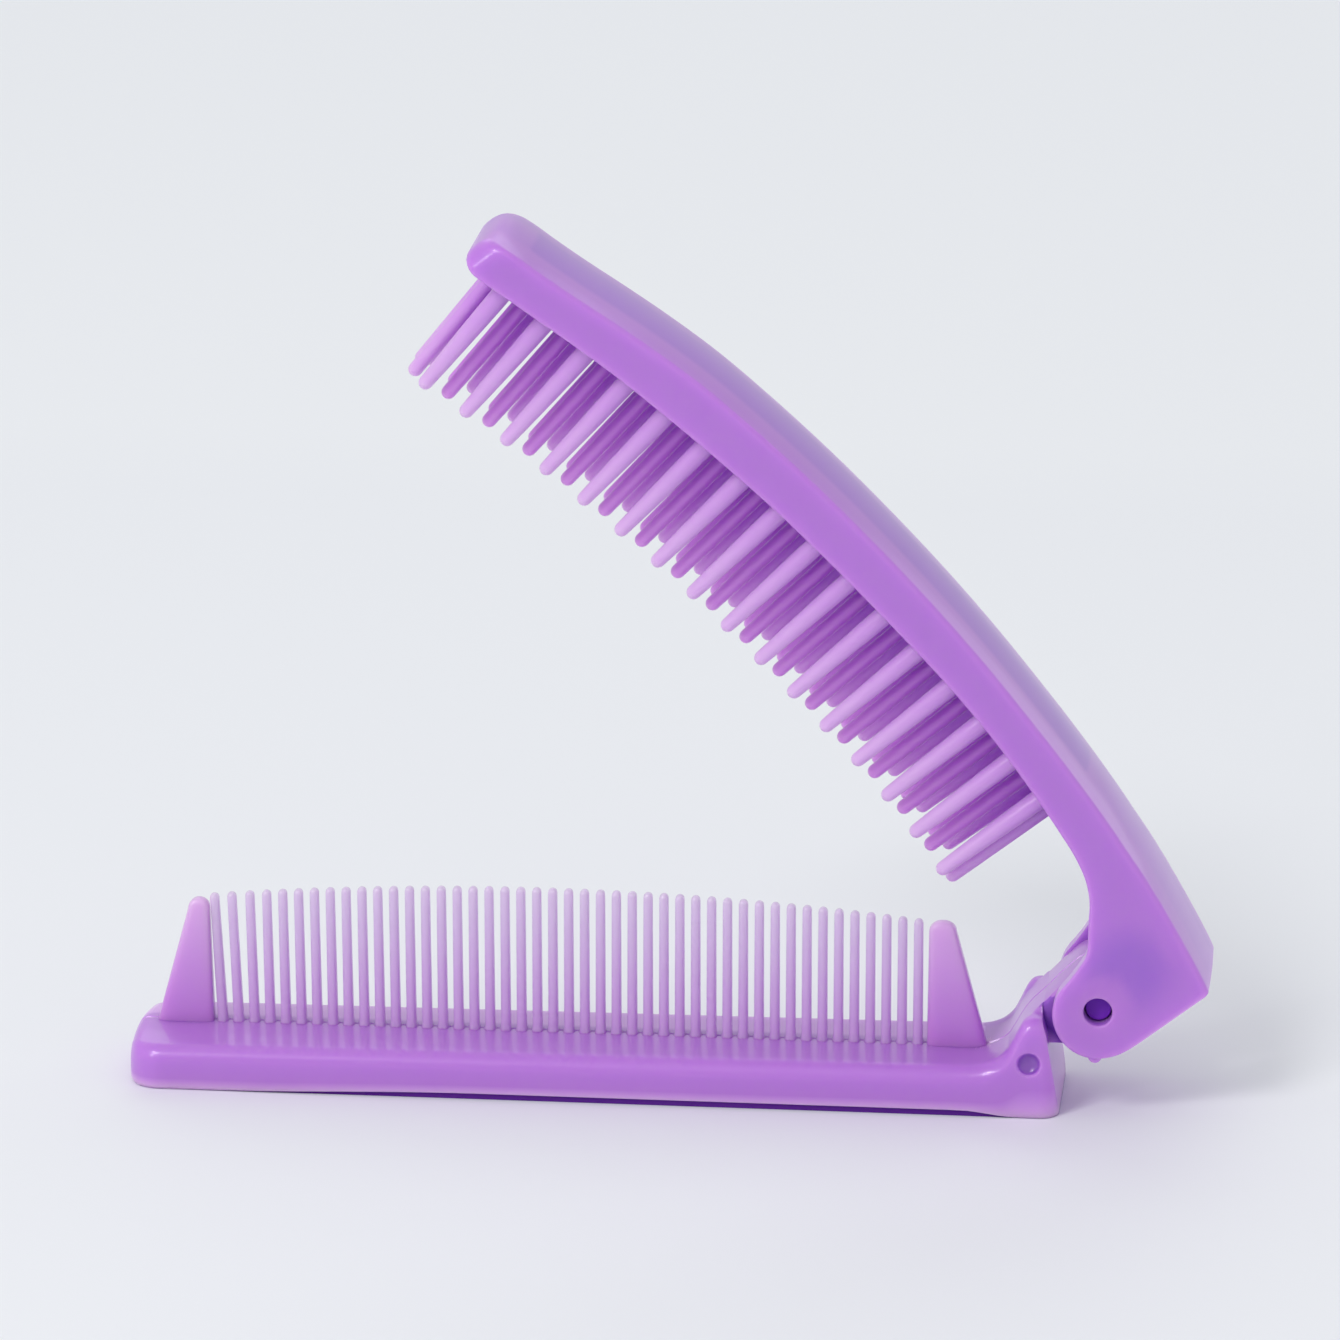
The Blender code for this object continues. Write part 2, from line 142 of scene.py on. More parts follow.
# Brush half
BRUSH_WIDTH = 18.0 * MM
BRUSH_TIP = 115.79 * MM
BACK_THICKNESS = 2.2 * MM
BACK_CROWN = 0.7 * MM
END_CROWN = 0.15 * MM
CROWN_RUN = 24.0 * MM
TIP_CROWN_LOSS = 0.6
BACK_FILLET = 0.7 * MM
TIP_FILLET = 0.7 * MM
RIM_FILLET = 0.45 * MM
TIP_RIM_FILLET = 0.7
TIP_ROUND = 2.8 * MM
TROUGH_START = 2.0 * MM
TROUGH_END = 111.4 * MM
TROUGH_LAST_ROW = 1.5 * MM
SLOT_ROOF = 10.9 * MM
SLOT_ROOF_END = -4.0 * MM
HOLE_RADIUS = 1.7 * MM
HOLE_LIP = 0.15 * MM

# Bristles
BRISTLE_COUNT = 16
FIRST_BRISTLE = 24.05 * MM
LAST_BRISTLE = 109.45 * MM
BRISTLE_LENGTH = 15.6 * MM
INNER_SHIFT = 0.5
END_SHIFT = 0.31
BRISTLE_RADIUS = 1.0 * MM
BRISTLE_TIP_RADIUS = 0.85 * MM
BRISTLE_TAPER = 1.3
BRISTLE_ROOT = 0.7 * MM
BRISTLE_FLARE = 0.12 * MM
BRISTLE_FLARE_RUN = 0.4 * MM
OUTER_EXTRA = 0.2 * MM
OUTER_ROW = 5.1 * MM
INNER_ROW = 2.85 * MM
LEAN_NEAR_HINGE = math.radians(0.3)
LEAN_NEAR_TIP = math.radians(12.3)
FAR_ROW_SHIFT = 0.6 * MM

# Fineness of the meshes, and small allowances for clean cuts and joins
NECK_STEP = 0.3 * MM
BRUSH_STEP = 0.7 * MM
BAR_STEP = 2.8 * MM
BAR_STEPS = 34
BAR_FIRST = 5.5 * MM
END_STEPS = 14
FACE_STEPS = 7
FILLET_STEPS = 5
TURNED_SIDES = 96
HOLE_SIDES = 48
NUB_SIDES = 32
TOOTH_SIDES = 20
GUARD_SIDES = 36
BRISTLE_SIDES = 22
DISC_TURN = 0.013
SHARP_ANGLE = math.radians(38)
WELD = 0.001 * MM
HAIR = 0.02 * MM
OVERCUT = 0.5 * MM
LIP_OVERCUT = 0.4 * MM
RECESS_BITE = 0.25 * MM
OUTSIDE = 20.0 * MM

# Where painted light and shade change on the comb half
TEETH_START = -113.6 * MM
TEETH_END = -13.0 * MM
# Below UNDER_BAR the rebate takes its darkest painted shade, and the body the paler far-band colour
UNDER_BAR = 1.0 * MM
# The far band of painted light: from BAND_START across the comb over BAND_RUN, and from BAND_LOW
# below the bar's top over BAND_RISE
BAND_START = 1.0 * MM
BAND_RUN = 1.2 * MM
BAND_LOW = 3.0 * MM
BAND_RISE = 2.0 * MM
TONGUE_SHADE = 0.52
TONGUE_SHADE_RUN = 3.5 * MM
DIMPLE_SHADE = 0.45
# Faces deeper in painted shade than this take the shade material
SHADED_AT = 0.5

# Where painted light and shade change on the brush half
BRISTLES_START = 19.0 * MM
BRISTLES_END = 114.0 * MM
BRISTLE_MARGIN = 0.3 * MM
FAR_ROW_SHADE = 0.5
END_BRISTLE_SHADE = 0.75
# The brush body is painted darker round a spot over the hollow slot near the hinge, but not where
# solid plastic lies behind: at the back, round the lobe and along the rim
SIDE_FACE_START = 30.0 * MM
BACK_EDGE = -9.2 * MM
BACK_RUN = 2.2 * MM
LOBE_EDGE = 5.6 * MM
LOBE_RUN = 2.0 * MM
RIM_RUN = 2.4 * MM
SHADE_SPOT_X = 1.9 * MM
SHADE_SPOT_Z = -6.1 * MM
SHADE_SPOT_EDGE = 2.0 * MM
SHADE_SPOT_RUN = 5.0 * MM

# Top line of the comb's neck: x from the pivot, height above the table, in millimetres
NECK_LINE = [
    (-15.0, 5.9),
    (-13.4, 6.1),
    (-12.0, 6.6),
    (-10.9, 7.4),
    (-10.2, 8.5),
    (-9.5, 9.8),
    (-8.8, 10.9),
    (-8.0, 11.9),
    (-7.2, 12.7),
    (-6.4, 13.5),
    (-5.0, 15.0),
]

# Top line of the two ears beside the neck, measured the same way
EAR_LINE = [
    (-15.0, 5.9),
    (-13.2, 6.2),
    (-12.0, 6.7),
    (-10.7, 7.9),
    (-10.0, 9.2),
    (-9.4, 10.5),
    (-8.9, 11.4),
    (-8.4, 11.9),
    (-7.8, 12.1),
    (-7.0, 12.1),
    (-5.0, 11.9),
]

# Guard teeth: outer and inner edge at the foot, outer and inner edge at the tip, in millimetres
GUARD_LINES = [
    (-113.2, -106.05, -109.05, -106.5),
    (-13.1, -20.6, -17.2, -20.45),
]

# Side view of the brush: x from the hinge, back edge, rim on the bristle side, in millimetres
BRUSH_LINE = [
    (-5.88, -11.6, -1.5),
    (-5.76, -11.85, 0.5),
    (-5.45, -12.0, 1.9),
    (-5.0, -12.12, 2.9),
    (-3.95, -12.35, 4.3),
    (-2.2, -12.68, 5.35),
    (0.0, -13.05, 5.65),
    (2.2, -13.4, 5.0),
    (3.6, -13.6, 3.9),
    (4.5, -13.73, 2.5),
    (5.0, -13.79, 0.6),
    (5.64, -13.88, -1.49),
    (6.34, -13.99, -3.08),
    (7.64, -14.13, -4.33),
    (9.44, -14.34, -5.78),
    (11.24, -14.49, -7.28),
    (13.44, -14.63, -8.44),
    (16.24, -14.84, -9.19),
    (20.24, -15.04, -9.64),
    (26.24, -15.19, -10.04),
    (33.24, -15.19, -10.24),
    (41.24, -15.04, -9.99),
    (50.24, -14.54, -9.19),
    (60.24, -13.59, -8.08),
    (70.24, -12.29, -6.68),
    (79.24, -10.74, -4.98),
    (87.24, -9.04, -3.23),
    (94.24, -7.03, -1.54),
    (100.24, -5.03, 0.21),
    (105.24, -3.28, 1.77),
    (109.24, -1.99, 3.02),
    (112.24, -1.09, 3.97),
    (113.59, -0.59, 4.32),
    (114.59, -0.14, 4.32),
    (115.14, 0.22, 4.12),
    (115.49, 0.62, 3.77),
    (115.69, 1.21, 3.27),
    (115.79, 1.96, 2.56),
]
BACK, RIM = 1, 2

# Colours. BODY is the plastic's own colour and CLOUD its random cloudiness; the rest carry painted
# light and shade. A pair is the colour at the root and at the tip, or at the edge of a hollow's
# painted shade and deepest in it.
BODY = (0.47, 0.195, 0.655)
# Painted light: the comb's far side, lit through the plastic from behind, painted paler
FAR_BAND_LIGHT = (0.66, 0.36, 0.80)
# Painted shade: the brush body painted darker where a hollow lies behind its wall
HOLLOW_SHADE = (0.37, 0.15, 0.62)
# Painted shade: the deepest colour on the comb body, on the tongue's sides in the hinge recess and
# in the dimples
DEEP_SHADE = (0.17, 0.022, 0.46)
# Painted shade: the pin, painted dark violet as the shade inside the hinge holes
PIN_SHADE = (0.21, 0.035, 0.51)
# Painted shade: the darkest colour in the rebate under the bar's lower edges
REBATE_SHADE = (0.12, 0.02, 0.29)
# Painted shade on the tongue's sides in the hinge recess, from its edge to its deepest
SUNK_SHADE = ((0.50, 0.22, 0.70), (0.18, 0.04, 0.45))
# The guards and fine teeth: their own colour at the root, with painted light that makes the thinner
# tips paler
GUARD_LIT_TIPS = ((0.58, 0.25, 0.72), (0.72, 0.46, 0.80))
TOOTH_LIT_TIPS = ((0.60, 0.37, 0.75), (0.66, 0.52, 0.79))
# Painted shade: the inner rows of bristles, darkest at the root inside the trough
INNER_BRISTLE_SHADE = ((0.55, 0.165, 0.77), (0.66, 0.29, 0.81))
# Painted light: the outer rows of bristles, paler, and paler still at the tips
OUTER_BRISTLE_LIGHT = ((0.61, 0.32, 0.78), (0.68, 0.43, 0.81))
CLOUD = ((0.985, 0.98, 0.99), (1.0, 1.0, 1.0))
BODY_GLOW = 4.0 * MM
THIN_GLOW = 3.0 * MM
SUNK_GLOW = 0.5 * MM

# Skin of the plastic, and the table. A scale is that of a noise texture, in turns a metre.
COAT = 0.3
CLOUD_SCALE = 28.0
RIPPLE_SCALE = 60.0
RIPPLE_HEIGHT = 0.05 * MM
ROUGHNESS = (0.286, 0.308)
TABLE_SIZE = 4.0
# The table's tone near the object and its painted light far behind, and where across the table that
# light fades in, in metres
TABLE_TONE_AND_FAR_LIGHT = ((0.84, 0.86, 0.885), (0.855, 0.875, 0.895))
FAR_LIGHT_FADE = (0.27, 0.31)
TABLE_GRAIN_SCALE = 900.0
TABLE_GRAIN_HEIGHT = 0.2 * MM

# Camera
CAMERA_AZIMUTH = math.radians(5.924)
CAMERA_ELEVATION = math.radians(16.0)
CAMERA_DISTANCE = 0.9025
CAMERA_TARGET = (-0.000082, 0.0, 0.050968)
CAMERA_LENS = 206.32

# Area lights: name, place, target, size, power and colour
LIGHTS = [
    ("key", (-0.66, -1.0, 1.15), (0, 0, 0.03), (0.42, 0.42), 8.5, (1.0, 0.985, 0.975)),
    ("second_key", (-0.95, -1.2, 0.75), (0, 0, 0.03), (0.3, 0.3), 2.5, (1.0, 0.985, 0.975)),
    ("rear", (-0.1, 1.1, 0.9), (0, 0, 0.03), (1.2, 0.5), 2.0, (0.96, 0.98, 1.0)),
    ("card", (0.85, 1.05, 0.26), (0, 0, 0.05), (0.5, 0.4), 0.5, (1.0, 0.99, 0.98)),
]
SKY = (0.96, 0.97, 1.0)
SKY_STRENGTH = 0.69


def scaled(rows):
    return [tuple(value * MM for value in row) for row in rows]


def smooth_rows(rows, longest):
    """Rows on a smooth curve through the given rows, none further than longest from the next."""
    spans = [max(math.dist(a, b), 1e-9) for a, b in zip(rows, rows[1:])]
    slopes = []
    for a, b, h in zip(rows, rows[1:], spans):
        slopes.append(tuple((q - p) / h for p, q in zip(a, b)))
    tangents = [slopes[0]]
    for i in range(1, len(rows) - 1):
        left, right = spans[i - 1], spans[i]
        tangents.append(tuple(
            (p * right + q * left) / (left + right) for p, q in zip(slopes[i - 1], slopes[i])
        ))
    tangents.append(slopes[-1])
    out = []
    for i, h in enumerate(spans):
        steps = max(1, math.ceil(h / longest))
        for k in range(steps):
            t = k / steps
            a, b = 2 * t**3 - 3 * t**2 + 1, t**3 - 2 * t**2 + t
            c, d = 3 * t**2 - 2 * t**3, t**3 - t**2
            out.append(tuple(
                a * p + b * h * m + c * q + d * h * n
                for p, m, q, n in zip(rows[i], tangents[i], rows[i + 1], tangents[i + 1])
            ))
    out.append(rows[-1])
    return out


NECK = smooth_rows(scaled(NECK_LINE), NECK_STEP)
EAR = smooth_rows(scaled(EAR_LINE), NECK_STEP)
BRUSH = smooth_rows(scaled(BRUSH_LINE), BRUSH_STEP)


def at(table, x, column=1):
    """Read a column of a table at x, on straight lines between rows."""
    if x <= table[0][0]:
        return table[0][column]
    for low, high in zip(table, table[1:]):
        if x <= high[0]:
            part = (x - low[0]) / max(high[0] - low[0], 1e-9)
            return low[column] + part * (high[column] - low[column])
    return table[-1][column]


def ease(part):
    """A smooth step from 0 to 1."""
    part = min(1.0, max(0.0, part))
    return part * part * (3 - 2 * part)


# Mesh helpers


def loft(name, rings):
    """Skin a row of rings that have the same number of points, and close both ends."""
    shape = bmesh.new()
    loops = [[shape.verts.new(point) for point in ring] for ring in rings]
    for first, second in zip(loops, loops[1:]):
        for i in range(len(first)):
            j = (i + 1) % len(first)
            shape.faces.new((first[i], first[j], second[j], second[i]))
    shape.faces.new(list(reversed(loops[0])))
    shape.faces.new(loops[-1])
    bmesh.ops.recalc_face_normals(shape, faces=shape.faces)
    bmesh.ops.triangulate(shape, faces=shape.faces)
    return new_object(name, shape)


def join(name, things):
    """One object that holds several meshes side by side."""
    shape = bmesh.new()
    for thing in things:
        shape.from_mesh(thing.data)
        bpy.data.objects.remove(thing, do_unlink=True)
    return new_object(name, shape)


def new_object(name, shape):
    """Turn an edit mesh into an object, and free it."""
    mesh = bpy.data.meshes.new(name)
    shape.to_mesh(mesh)
    shape.free()
    thing = bpy.data.objects.new(name, mesh)
    bpy.context.collection.objects.link(thing)
    return thing


def arc(centre_x, centre_z, radius, start, end, steps):
    angles = [start + (end - start) * i / steps for i in range(steps + 1)]
    return [(centre_x + radius * math.cos(a), centre_z + radius * math.sin(a)) for a in angles]


def corner_arc(centre_y, centre_z, radius, start, end, steps):
    """Points (y, z) of a rounded corner of a section, angles in degrees."""
    return arc(centre_y, centre_z, radius, math.radians(start), math.radians(end), steps)


def disc(radius, sides, centre=(0.0, 0.0)):
    """A circle turned a little, so that none of its corners meets a face it cuts."""
    last = DISC_TURN + math.tau * (sides - 1) / sides
    return arc(centre[0], centre[1], radius, DISC_TURN, last, sides - 1)


def oval(width, depth, sides, power):
    """Points (x, y) of a rounded rectangle. A higher power makes it squarer."""
    points = []
    for i in range(sides):
        angle = math.tau * (i + 0.5) / sides
        c, s = math.cos(angle), math.sin(angle)
        points.append((
            width / 2 * math.copysign(abs(c) ** (2 / power), c),
            depth / 2 * math.copysign(abs(s) ** (2 / power), s),
        ))
    return points


def inset_outline(outline, distance):
    """Move each point of a closed (x, z) outline in, square to the line through its neighbours."""
    area = sum(a[0] * b[1] - b[0] * a[1] for a, b in zip(outline, outline[1:] + outline[:1]))
    side = 1 if area > 0 else -1
    moved = []
    for i, (x, z) in enumerate(outline):
        before, after = outline[i - 1], outline[(i + 1) % len(outline)]
        along = Vector((after[0] - before[0], after[1] - before[1])).normalized()
        moved.append((x - side * distance * along.y, z + side * distance * along.x))
    return moved


def prism(name, outline, half_width, fillet=0.0, seam=0.0, centre=0.0):
    """Extrude an outline across Y, with rounded edges, and a groove round the middle if asked."""
    levels = [(-half_width, fillet * 0.999)]
    if fillet:
        for i in range(1, FILLET_STEPS + 1):
            angle = math.radians(90 * i / FILLET_STEPS)
            inset = fillet * (1 - math.sin(angle))
            levels.append((fillet * (1 - math.cos(angle)) - half_width, inset))
    if seam:
        levels.append((-SEAM_WIDTH, 0.0))
        levels.append((-SEAM_WIDTH * SEAM_FLOOR_WIDTH, seam * SEAM_FLOOR_DEPTH))
    levels += [(-y, inset) for y, inset in reversed(levels)]
    rings = []
    for y, inset in levels:
        ring = inset_outline(outline, inset) if inset else outline
        rings.append([(x, centre + y, z) for x, z in ring])
    return loft(name, rings)


def turned(name, profile, centre, side):
    """Turn a profile of (y, radius) rows about an axis along Y through centre (x, z)."""
    rings = []
    for y, radius in profile:
        rings.append([(x, side * y, z) for x, z in disc(radius, TURNED_SIDES, centre)])
    return loft(name, rings)


def dimple_profile():
    """Rows of a shallow bowl with a rolled lip, from outside the side face inwards."""
    face = COMB_WIDTH / 2
    rows = [(face + OVERCUT, DIMPLE_RADIUS + DIMPLE_LIP)]
    for degrees in (0, 25, 50, 75):
        rolled = math.sin(math.radians(degrees))
        rows.append((face - DIMPLE_LIP * rolled, DIMPLE_RADIUS + DIMPLE_LIP * (1 - rolled)))
    for degrees in (0, 15, 30, 45, 60, 74, 85):
        angle = math.radians(degrees)
        deep = DIMPLE_LIP + (DIMPLE_DEPTH - DIMPLE_LIP) * math.sin(angle)
        rows.append((face - deep, DIMPLE_RADIUS * math.cos(angle)))
    return rows


def lip_profile(radius, lip, face):
    """Rows of a cutter that rolls the edge of a hole in a side face."""
    rows = [(face + LIP_OVERCUT, radius + lip), (face, radius + lip)]
    for degrees in (22, 45, 68, 90):
        rolled = math.sin(math.radians(degrees))
        rows.append((face - lip * rolled, radius + lip * (1 - rolled)))
    rows.append((face - lip - OVERCUT, radius))
    return rows


def boolean(target, tool, operation):
    """Join or cut with an exact Boolean, apply it, and drop the tool."""
    step = target.modifiers.new(operation.lower(), "BOOLEAN")
    step.object = tool
    step.operation = operation
    step.solver = "EXACT"
    bpy.context.view_layer.update()
    graph = bpy.context.evaluated_depsgraph_get()
    result = bpy.data.meshes.new_from_object(target.evaluated_get(graph))
    target.modifiers.clear()
    target.data = result
    bpy.data.objects.remove(tool, do_unlink=True)


def finish_mesh(thing):
    """Weld stray points and shade the mesh smooth except over sharp edges."""
    shape = bmesh.new()
    shape.from_mesh(thing.data)
    bmesh.ops.remove_doubles(shape, verts=shape.verts, dist=WELD)
    bmesh.ops.dissolve_degenerate(shape, edges=shape.edges, dist=WELD)
    shape.to_mesh(thing.data)
    shape.free()
    thing.data.materials.clear()
    thing.data.shade_smooth()
    thing.data.set_sharp_from_angle(angle=SHARP_ANGLE)


def mark(thing, thin, shade, depth):
    """Give thin faces the second material and faces deep in painted shade the third, and keep two
    marks as a UV pair.

    The first mark is the reach along a tooth or bristle, or how deep the painted shade in a hollow
    is. The second picks between the two pairs of colours, which carry painted light and shade.
    """
    layer = thing.data.uv_layers.new(name="plastic_map")
    vertices = thing.data.vertices
    for face in thing.data.polygons:
        is_thin = thin(face.center) is not None
        is_shaded = not is_thin and depth(face.center) > SHADED_AT
        face.material_index = 1 if is_thin else 2 if is_shaded else 0
        for loop, vertex in zip(face.loop_indices, face.vertices):
            place = vertices[vertex].co
            reach = (thin(place) or 0.0) if is_thin else depth(place)
            layer.uv[loop].vector = (min(1.0, max(0.0, reach)), shade(place))


# Comb half


def rebate(x):
    """Height of the shallow rebate at x. It fades out before both ends of the bar."""
    from_end = ease((x - COMB_END - REBATE_START) / REBATE_RISE)
    return REBATE_HEIGHT * from_end * ease((COMB_FACE - REBATE_STOP - x) / REBATE_FALL)


def spine_section(x):
    """One ring across the spine bar at x, from the bottom centre round and back."""
    from_end = x - COMB_END
    to_face = COMB_FACE - x
    inset = drop = 0.0
    if from_end < END_CORNER:
        inset = END_CORNER - math.sqrt(END_CORNER**2 - (END_CORNER - from_end) ** 2)
    if from_end < END_FILLET:
        drop = END_FILLET - math.sqrt(END_FILLET**2 - (END_FILLET - from_end) ** 2)
    if to_face < FACE_CORNER:
        inset = FACE_CORNER - math.sqrt(FACE_CORNER**2 - (FACE_CORNER - to_face) ** 2)
    half = COMB_WIDTH / 2 - inset
    step = rebate(x)
    crown = SPINE_CROWN * (1 - min(1.0, from_end / (NECK_START - COMB_END)))
    high = at(NECK, x) - drop
    rise = at(EAR, x) - at(NECK, x)
    bottom = END_UNDERCUT * drop
    cut = ease(step / REBATE_FILLET)
    fillet = BOTTOM_FILLET + cut * (REBATE_FILLET - BOTTOM_FILLET)
    wall = half - fillet - HAIR - cut * (REBATE_DEPTH - REBATE_FILLET)
    shoulder = half - TOP_FILLET

    def top(y):
        ear = rise * ease((y - EAR_INNER) / (EAR_OUTER - EAR_INNER))
        return high - crown * (y / shoulder) ** 2 + ear

    side = [(0.0, bottom), (half * 0.5, bottom), (wall, bottom), (wall + HAIR / 2, bottom + step)]
    low = bottom + step + fillet
    side += corner_arc(half - fillet, low, fillet, -90, 0, 5)
    edge = top(shoulder)
    side += [(half, low + part * (edge - TOP_FILLET - low)) for part in (0.33, 0.66)]
    side += corner_arc(shoulder, edge - TOP_FILLET, TOP_FILLET, 0, 90, 9)
    for part in (0.95, 0.9, 0.85, 0.8, 0.72, 0.6, 0.45, 0.3, 0.15):
        side.append((shoulder * part, top(shoulder * part)))
    side.append((SEAM_WIDTH, high))
    side.append((SEAM_WIDTH * SEAM_FLOOR_WIDTH, high - SEAM_DEPTH * SEAM_FLOOR_DEPTH))
    side.append((0.0, high - SEAM_DEPTH))
    mirrored = [(-y, z) for y, z in reversed(side[1:-1])]
    return [(x, y, z) for y, z in side + mirrored]


def build_spine():
    """The bar, its neck and its ears, with more rings where the ends are rounded."""
    stations = []
    for i in range(END_STEPS + 1):
        angle = math.radians(90 * i / END_STEPS)
        stations.append(COMB_END + END_CORNER * (1 - math.cos(angle)))
    stations += [COMB_END + BAR_FIRST + i * BAR_STEP for i in range(BAR_STEPS)]
    stations += [row[0] for row in NECK if row[0] < COMB_FACE - FACE_CORNER]
    for i in range(FACE_STEPS + 1):
        angle = math.radians(90 * i / FACE_STEPS)
        stations.append(COMB_FACE - FACE_CORNER * (1 - math.sin(angle)))
    return loft("comb", [spine_section(x) for x in sorted(stations)])


def tongue_outline():
    """Side view of the tongue: flat underside, round end, and the top line of the neck."""
    deep = PIVOT_HEIGHT - TONGUE_LOW
    line = [(x, z - HAIR) for x, z in NECK if TONGUE_TOP_START < x < TONGUE_TOP_END]
    points = [(line[0][0], TONGUE_LOW)]
    points += [(x, TONGUE_LOW) for x in (-4.0 * MM, -2.0 * MM, 0.0)]
    for degrees in range(-80, 134, 6):
        radius = TONGUE_RADIUS + (deep - TONGUE_RADIUS) * ease((-20 - degrees) / 70)
        angle = math.radians(degrees)
        points.append((radius * math.cos(angle), PIVOT_HEIGHT + radius * math.sin(angle)))
    return points + list(reversed(line))


def tip_height(x):
    """Height of the shallow arc that the tooth tips lie on."""
    return TIP_ARC_TOP - (x - TIP_ARC_CENTRE) ** 2 / (2 * TIP_ARC_RADIUS)


def tooth(x_base, x_tip, z_tip):
    """A fine tooth: oval in section, flared where it leaves the bar, and rounded at the tip."""
    z_base = SPINE_HEIGHT - TOOTH_ROOT
    round_off = TOOTH_TIP_WIDTH / 2
    shaft = z_tip - round_off - SPINE_HEIGHT
    rows = [
        (z_base, TOOTH_FLARE, 0.0),
        (SPINE_HEIGHT, TOOTH_FLARE, 0.0),
        (SPINE_HEIGHT + TOOTH_FLARE_HEIGHT, 0.3 * TOOTH_FLARE, 0.0),
    ]
    rows += [(SPINE_HEIGHT + part * shaft, 0.0, 0.0) for part in (0.04, 0.3, 0.55, 0.8, 1.0)]
    for degrees in (25, 48, 68, 84):
        angle = math.radians(degrees)
        rows.append((z_tip - round_off * (1 - math.sin(angle)), 0.0, angle))
    rings = []
    for z, flare, angle in rows:
        part = min(1.0, max(0.0, (z - z_base) / (z_tip - z_base)))
        wide = TOOTH_WIDTH + part * (TOOTH_TIP_WIDTH - TOOTH_WIDTH)
        wide = wide * math.cos(angle) + 2 * flare
        deep = TOOTH_DEPTH + part * (TOOTH_TIP_DEPTH - TOOTH_DEPTH)
        deep = deep - TOOTH_TIP_DEPTH * (1 - math.cos(angle)) * TOOTH_TIP_ROUND + 2 * flare
        x = x_base + part * (x_tip - x_base)
        section = oval(wide, deep, TOOTH_SIDES, TOOTH_SQUARENESS)
        rings.append([(x + px, py, z) for px, py in section])
    return loft("tooth", rings)


def build_teeth():
    """The fine teeth. They lean out a little towards the far end, the first ones most."""
    pitch = (LAST_GAP - FIRST_GAP) / TOOTH_COUNT
    teeth = []
    for i in range(TOOTH_COUNT):
        x_base = FIRST_GAP + pitch * (i + 0.5)
        first_lean = END_LEAN * math.exp(-((i / END_LEAN_TEETH) ** 2))
        x_tip = x_base - first_lean - TOOTH_LEAN * max(0.0, 1 - i / LEAN_TEETH)
        teeth.append(tooth(x_base, x_tip, tip_height(x_tip)))
    return join("teeth", teeth)


def guard(outer_base, inner_base, outer_tip, inner_tip):
    """A wide guard tooth whose outer edge slopes and whose tip is rounded."""
    z_base = SPINE_HEIGHT - TOOTH_ROOT
    z_round = GUARD_TOP - GUARD_TIP_RADIUS
    rows = [(z_base, 0.0)]
    for part in (0.0, 0.1, 0.3, 0.5, 0.7, 0.85, 1.0):
        rows.append((SPINE_HEIGHT + part * (z_round - SPINE_HEIGHT), 0.0))
    for degrees in (15, 30, 45, 60, 74, 86):
        angle = math.radians(degrees)
        rows.append((z_round + GUARD_TIP_RADIUS * math.sin(angle), angle))
    rings = []
    for z, angle in rows:
        part = min(1.0, (z - z_base) / (z_round - z_base))
        outer = outer_base + part * (outer_tip - outer_base)
        inner = inner_base + part * (inner_tip - inner_base)
        middle, wide = (outer + inner) / 2, abs(outer - inner) * math.cos(angle)
        deep = GUARD_DEPTH + part * (GUARD_TIP_DEPTH - GUARD_DEPTH)
        deep *= GUARD_TIP_FLAT + (1 - GUARD_TIP_FLAT) * math.cos(angle)
        section = oval(wide, deep, GUARD_SIDES, GUARD_SQUARENESS)
        rings.append([(middle + px, py, z) for px, py in section])
    return loft("guard", rings)


def comb_reach(place):
    """How far up a tooth a point is, or None off the teeth."""
    on_teeth = TEETH_START < place.x < TEETH_END and abs(place.y) < GUARD_DEPTH / 2 + 0.1 * MM
    if not on_teeth or place.z < SPINE_HEIGHT + 0.03 * MM:
        return None
    return (place.z - SPINE_HEIGHT) / (TIP_ARC_TOP - SPINE_HEIGHT)


def comb_shade(place):
    """1 on fine teeth and the bar's lowest millimetre, 0 on guards, up to 1 on the far side; at 1
    the body is painted paler, as painted light.
    """
    if place.z < UNDER_BAR:
        return 1.0
    if place.z > SPINE_HEIGHT + 0.1 * MM:
        return 1.0 if FIRST_GAP - 0.3 * MM < place.x < LAST_GAP + 0.3 * MM else 0.0
    behind = ease((place.y - BAND_START) / BAND_RUN)
    return behind * ease((place.z - SPINE_HEIGHT + BAND_LOW) / BAND_RISE)


def comb_shade_depth(place):
    """How deep the painted shade falls: 1 on the tongue's sides in the recess and in the rebate,
    part way in the dimples.
    """
    above = place.z - PIVOT_HEIGHT
    if math.hypot(place.x, above) < CLEARANCE_RADIUS + 0.4 * MM:
        outside = abs(place.y) - TONGUE_WIDTH / 2
        if not -0.35 * MM < outside < 0.05 * MM or above >= 0.8 * MM:
            return 0.0
        return TONGUE_SHADE + (1 - TONGUE_SHADE) * ease(-above / TONGUE_SHADE_RUN)
    if math.hypot(place.x - DIMPLE_X, place.z - DIMPLE_Z) < DIMPLE_RADIUS:
        inside = COMB_WIDTH / 2 - abs(place.y)
        return DIMPLE_SHADE * ease((inside - 0.1 * MM) / (0.4 * MM))
    if place.z < UNDER_BAR:
        return ease((rebate(place.x) + 0.1 * MM - place.z) / (0.12 * MM))
    return 0.0


